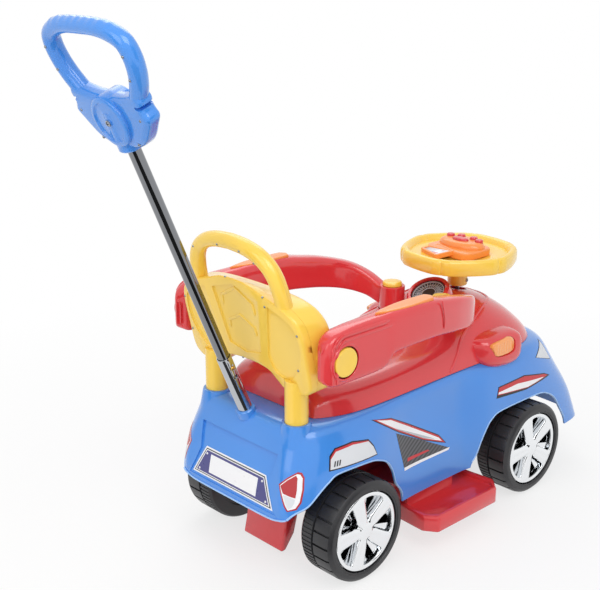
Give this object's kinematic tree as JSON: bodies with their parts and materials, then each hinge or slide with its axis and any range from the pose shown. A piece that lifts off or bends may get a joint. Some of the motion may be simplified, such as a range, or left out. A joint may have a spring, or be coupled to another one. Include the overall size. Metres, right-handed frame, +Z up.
{
  "type": "ride-on push car",
  "caption": "Foot-to-floor ride-on car for a toddler with a leaning push handle, swing-out guard rails, backrest, footsteps and steered front wheels",
  "frame": {"origin": "on the floor at the middle of the length and width, below the body", "axes": "+Z up, -Y towards the nose, -X towards the car's right side"},
  "size_m": [0.406, 0.9997, 0.8664],
  "materials": {
    "blue_plastic": "moulded polypropylene, soft gloss",
    "red_plastic": "moulded polypropylene, glossy",
    "yellow_plastic": "moulded polypropylene, soft gloss",
    "orange_plastic": "moulded ABS, glossy",
    "lamp_plastic": "translucent orange polystyrene",
    "black_plastic": "blow-moulded polyethylene, satin",
    "metallised_plastic": "ABS with a bright metallised coat",
    "silver_plastic": "silver-painted ABS",
    "chrome_steel": "chromed steel tube, mirror bright",
    "steel": "zinc-plated steel",
    "brass": "satin",
    "board": "green circuit board with buzzers"
  },
  "bodies": {
    "car_body": {"lower_body": "blue_plastic", "upper_body": "red_plastic", "floor_pan": "red_plastic", "anti_tip_block": "red_plastic", "gauge_dial": "silver_plastic", "front_axle_beam": "black_plastic", "rear_axle": "steel", "backrest_rear": "yellow_plastic", "backrest_front": "yellow_plastic", "pole_sleeve": "chrome_steel", "rear_axle_bearing_right": "red_plastic", "footstep_right": "red_plastic", "indicator_lens_right": "lamp_plastic", "kingpin_right": "steel", "backrest_post_right": "yellow_plastic", "hinge_post_right": "yellow_plastic", "hinge_cap_right": "yellow_plastic", "cap_nut_rear_right": "steel", "rear_axle_bearing_left": "red_plastic", "footstep_left": "red_plastic", "indicator_lens_left": "lamp_plastic", "kingpin_left": "steel", "backrest_post_left": "yellow_plastic", "hinge_post_left": "yellow_plastic", "hinge_cap_left": "yellow_plastic", "cap_nut_rear_left": "steel"},
    "steering": {"steering_wheel": "yellow_plastic", "horn_pad": "orange_plastic", "sound_board": "board", "column_screw": "steel", "steering_rod": "steel"},
    "horn_oval": {"horn_button_oval": "red_plastic"},
    "horn_round_1": {"horn_button_round_1": "red_plastic"},
    "horn_round_2": {"horn_button_round_2": "red_plastic"},
    "horn_round_3": {"horn_button_round_3": "red_plastic"},
    "horn_round_4": {"horn_button_round_4": "red_plastic"},
    "tie_rod": {"tie_rod": "steel"},
    "knuckle_right": {"steering_knuckle_right": "steel", "cap_nut_front_right": "steel"},
    "wheel_front_right": {"wheel_front_right": "black_plastic", "hubcap_front_right": "metallised_plastic"},
    "wheel_rear_right": {"wheel_rear_right": "black_plastic", "hubcap_rear_right": "metallised_plastic"},
    "guard_right": {"guard_rail_right": "red_plastic", "guard_inlay_right": "orange_plastic"},
    "latch_right": {"latch_button_right": "yellow_plastic"},
    "knuckle_left": {"steering_knuckle_left": "steel", "cap_nut_front_left": "steel"},
    "wheel_front_left": {"wheel_front_left": "black_plastic", "hubcap_front_left": "metallised_plastic"},
    "wheel_rear_left": {"wheel_rear_left": "black_plastic", "hubcap_rear_left": "metallised_plastic"},
    "guard_left": {"guard_rail_left": "red_plastic", "guard_inlay_left": "orange_plastic"},
    "latch_left": {"latch_button_left": "yellow_plastic"},
    "pole": {"push_pole": "chrome_steel", "handle_rear": "blue_plastic", "handle_front": "blue_plastic", "handle_screw": "steel"},
    "pole_lock": {"pole_lock_button": "brass"}
  },
  "joints": [
    {"name": "steering_turn", "type": "hinge", "parent": "car_body", "child": "steering", "pos_m": [0, -0.2765, 0.4], "axis": [0, 0, 1], "range_deg": [-36, 36]},
    {"name": "horn_oval_press", "type": "slide", "parent": "steering", "child": "horn_oval", "axis": [0, 0, -1], "range_m": [0, 0.0015], "stiffness_N_per_m": 400},
    {"name": "horn_round_1_press", "type": "slide", "parent": "steering", "child": "horn_round_1", "axis": [0, 0, -1], "range_m": [0, 0.0015], "stiffness_N_per_m": 400},
    {"name": "horn_round_2_press", "type": "slide", "parent": "steering", "child": "horn_round_2", "axis": [0, 0, -1], "range_m": [0, 0.0015], "stiffness_N_per_m": 400},
    {"name": "horn_round_3_press", "type": "slide", "parent": "steering", "child": "horn_round_3", "axis": [0, 0, -1], "range_m": [0, 0.0015], "stiffness_N_per_m": 400},
    {"name": "horn_round_4_press", "type": "slide", "parent": "steering", "child": "horn_round_4", "axis": [0, 0, -1], "range_m": [0, 0.0015], "stiffness_N_per_m": 400},
    {"name": "tie_rod_slide", "type": "slide", "parent": "car_body", "child": "tie_rod", "axis": [1, 0, 0], "range_m": [-0.013, 0.013]},
    {"name": "knuckle_right_turn", "type": "hinge", "parent": "car_body", "child": "knuckle_right", "pos_m": [-0.088, -0.295, 0.09], "axis": [0, 0, 1], "range_deg": [-19, 19]},
    {"name": "wheel_front_right_spin", "type": "hinge", "parent": "knuckle_right", "child": "wheel_front_right", "pos_m": [-0.14, -0.295, 0.083], "axis": [1, 0, 0], "continuous": true},
    {"name": "wheel_rear_right_spin", "type": "hinge", "parent": "car_body", "child": "wheel_rear_right", "pos_m": [-0.14, 0.1335, 0.083], "axis": [1, 0, 0], "continuous": true},
    {"name": "guard_right_swing", "type": "hinge", "parent": "car_body", "child": "guard_right", "pos_m": [-0.057, -0.1655, 0.34], "axis": [0, 0, 1], "range_deg": [0, 50]},
    {"name": "latch_right_press", "type": "slide", "parent": "guard_right", "child": "latch_right", "axis": [1, 0, 0], "range_m": [0, 0.004], "stiffness_N_per_m": 300},
    {"name": "knuckle_left_turn", "type": "hinge", "parent": "car_body", "child": "knuckle_left", "pos_m": [0.088, -0.295, 0.09], "axis": [0, 0, 1], "range_deg": [-19, 19]},
    {"name": "wheel_front_left_spin", "type": "hinge", "parent": "knuckle_left", "child": "wheel_front_left", "pos_m": [0.14, -0.295, 0.083], "axis": [1, 0, 0], "continuous": true},
    {"name": "wheel_rear_left_spin", "type": "hinge", "parent": "car_body", "child": "wheel_rear_left", "pos_m": [0.14, 0.1335, 0.083], "axis": [1, 0, 0], "continuous": true},
    {"name": "guard_left_swing", "type": "hinge", "parent": "car_body", "child": "guard_left", "pos_m": [0.057, -0.1655, 0.34], "axis": [0, 0, -1], "range_deg": [0, 50]},
    {"name": "latch_left_press", "type": "slide", "parent": "guard_left", "child": "latch_left", "axis": [-1, 0, 0], "range_m": [0, 0.004], "stiffness_N_per_m": 300},
    {"name": "pole_slide", "type": "slide", "parent": "car_body", "child": "pole", "axis": [0, 0.3987, 0.9171], "range_m": [-0.17, 0]},
    {"name": "pole_lock_press", "type": "slide", "parent": "car_body", "child": "pole_lock", "axis": [1, 0, 0], "range_m": [0, 0.0008], "stiffness_N_per_m": 500}
  ],
  "couplings": [
    {"joint": "tie_rod_slide", "follows": "steering_turn", "m_per_rad": -0.0201},
    {"joint": "knuckle_right_turn", "follows": "steering_turn", "ratio": 0.52},
    {"joint": "knuckle_left_turn", "follows": "steering_turn", "ratio": 0.52}
  ]
}
